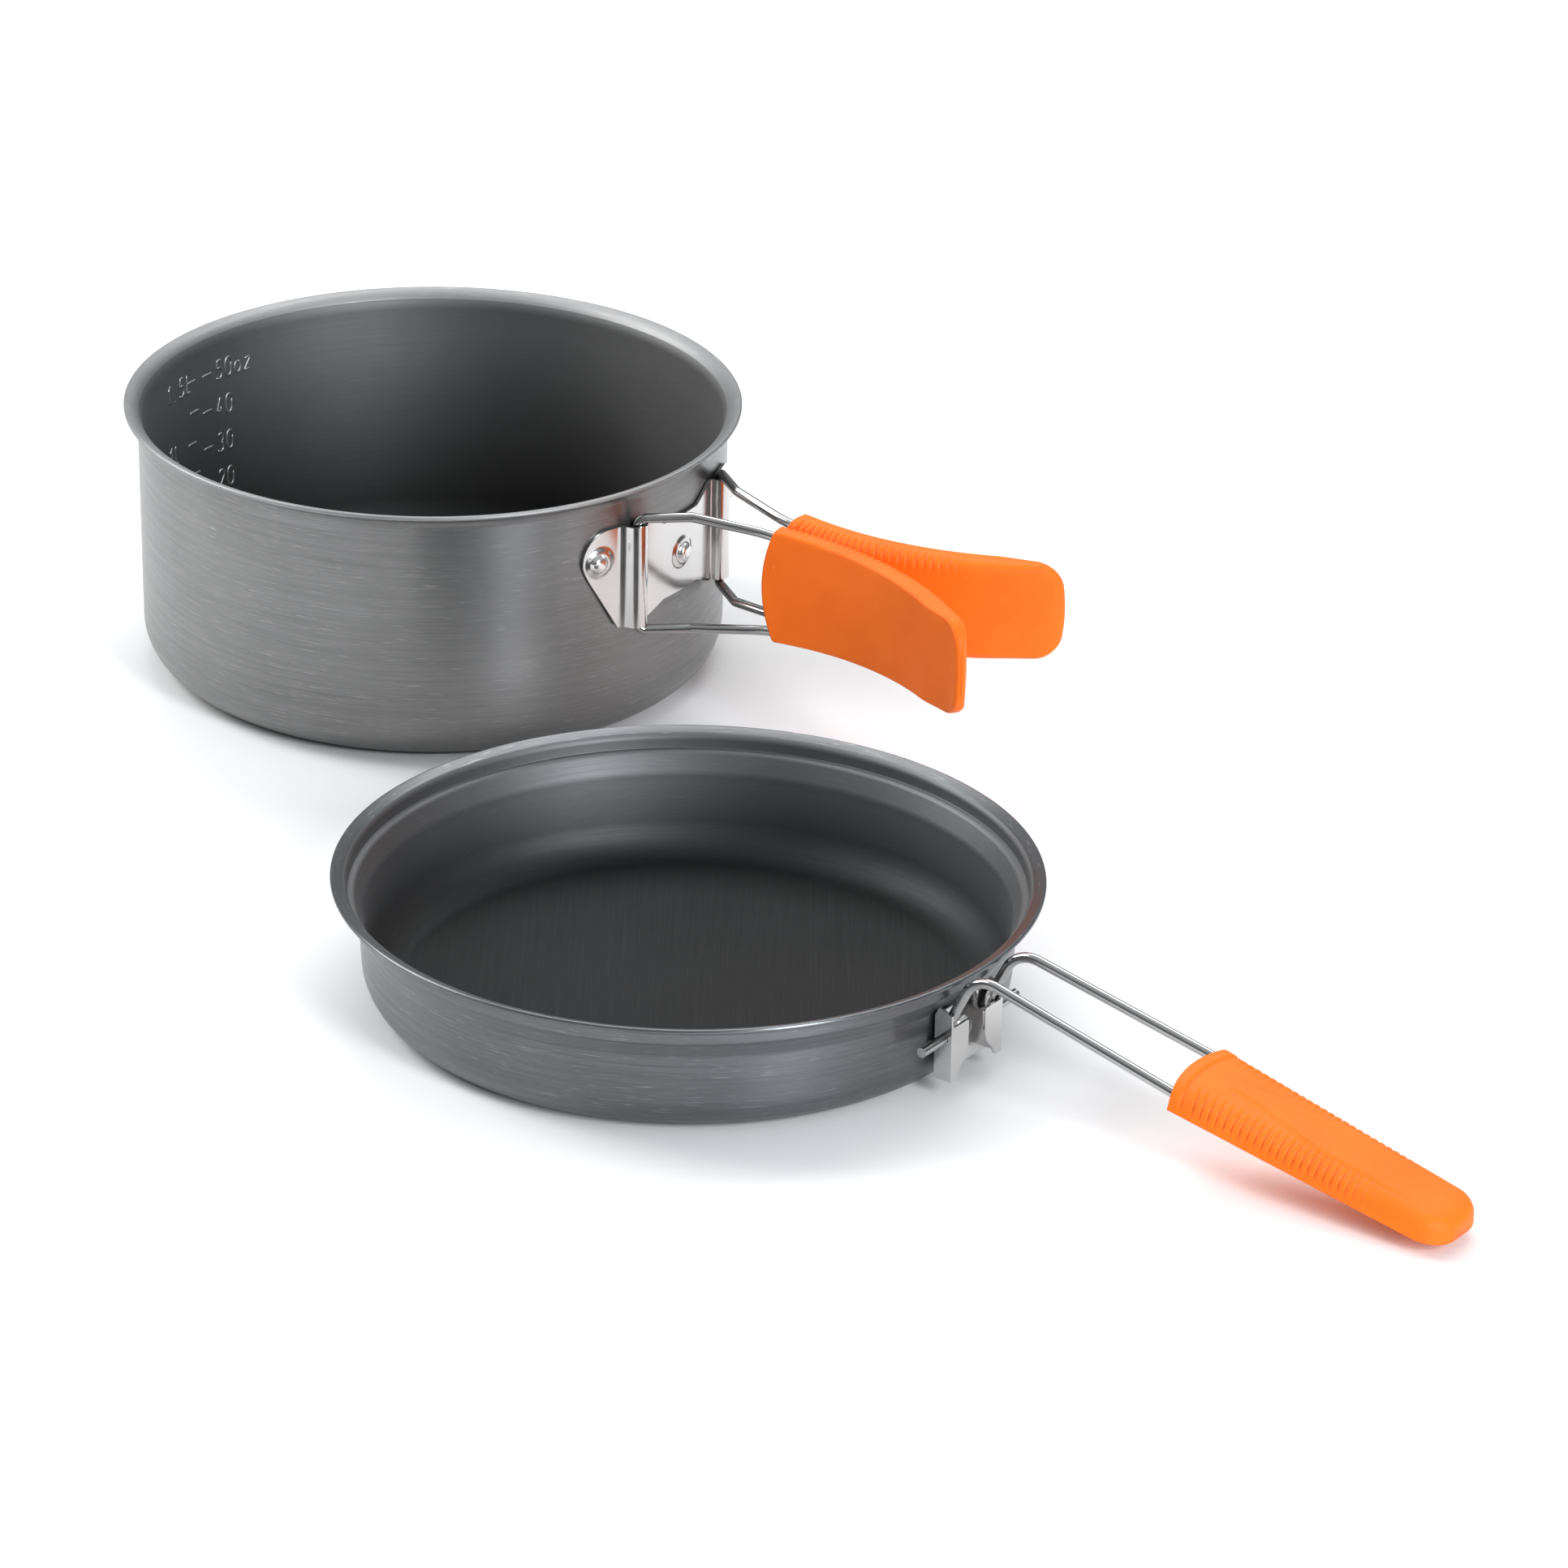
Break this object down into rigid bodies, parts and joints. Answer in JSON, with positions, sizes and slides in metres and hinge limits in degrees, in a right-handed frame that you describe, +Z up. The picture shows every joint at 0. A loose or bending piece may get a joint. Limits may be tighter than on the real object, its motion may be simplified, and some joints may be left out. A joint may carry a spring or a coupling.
{
  "type": "cooking pot set",
  "caption": "Camping cook set: a tall pot with folding wire handles and a low frying pan that doubles as its lid, its handle folding under.",
  "frame": {"origin": "centre of the flat underside of the pot's base", "axes": "+Z up, -Y towards the user's side where the pan stands, +X towards the side on which all handles point"},
  "size_m": [0.3878, 0.4817, 0.0824],
  "materials": {
    "pot_aluminium": "hard-anodised, brushed round the wall, mid grey",
    "pan_aluminium": "hard-anodised, brushed round the wall, dark blue grey",
    "stainless_plate": "polished stainless sheet",
    "stainless_wire": "bright drawn stainless wire",
    "rivet_aluminium": "bright formed rivet",
    "orange_silicone": "matte moulded silicone"
  },
  "bodies": {
    "pot": {"pot_shell": "pot_aluminium", "pot_bracket": "stainless_plate", "pot_rivet_left": "rivet_aluminium", "pot_rivet_centre": "rivet_aluminium", "pot_rivet_right": "rivet_aluminium"},
    "left_handle": {"left_handle_wire": "stainless_wire", "left_handle_grip": "orange_silicone"},
    "right_handle": {"right_handle_wire": "stainless_wire", "right_handle_grip": "orange_silicone"},
    "pan": {"pan_shell": "pan_aluminium", "pan_bracket": "stainless_plate", "pan_rivet": "rivet_aluminium"},
    "pan_handle": {"pan_handle_wire": "stainless_wire", "pan_handle_grip": "orange_silicone"}
  },
  "joints": [
    {"name": "left_handle_fold", "type": "hinge", "parent": "pot", "child": "left_handle", "pos_m": [0.06362, -0.06646, 0.0542], "axis": [0, 0, 1], "range_deg": [-138, 0]},
    {"name": "right_handle_fold", "type": "hinge", "parent": "pot", "child": "right_handle", "pos_m": [0.08722, -0.02927, 0.0542], "axis": [0, 0, 1], "range_deg": [0, 138]},
    {"name": "pan_lift", "type": "slide", "parent": "pot", "child": "pan", "axis": [0, 0, 1], "range_m": [0, 0.12]},
    {"name": "pan_handle_fold", "type": "hinge", "parent": "pan", "child": "pan_handle", "pos_m": [0.15982, -0.28979, 0.0185], "axis": [0.5736, 0.8192, 0], "range_deg": [0, 166], "deforming": ["pan_handle_wire"]}
  ]
}
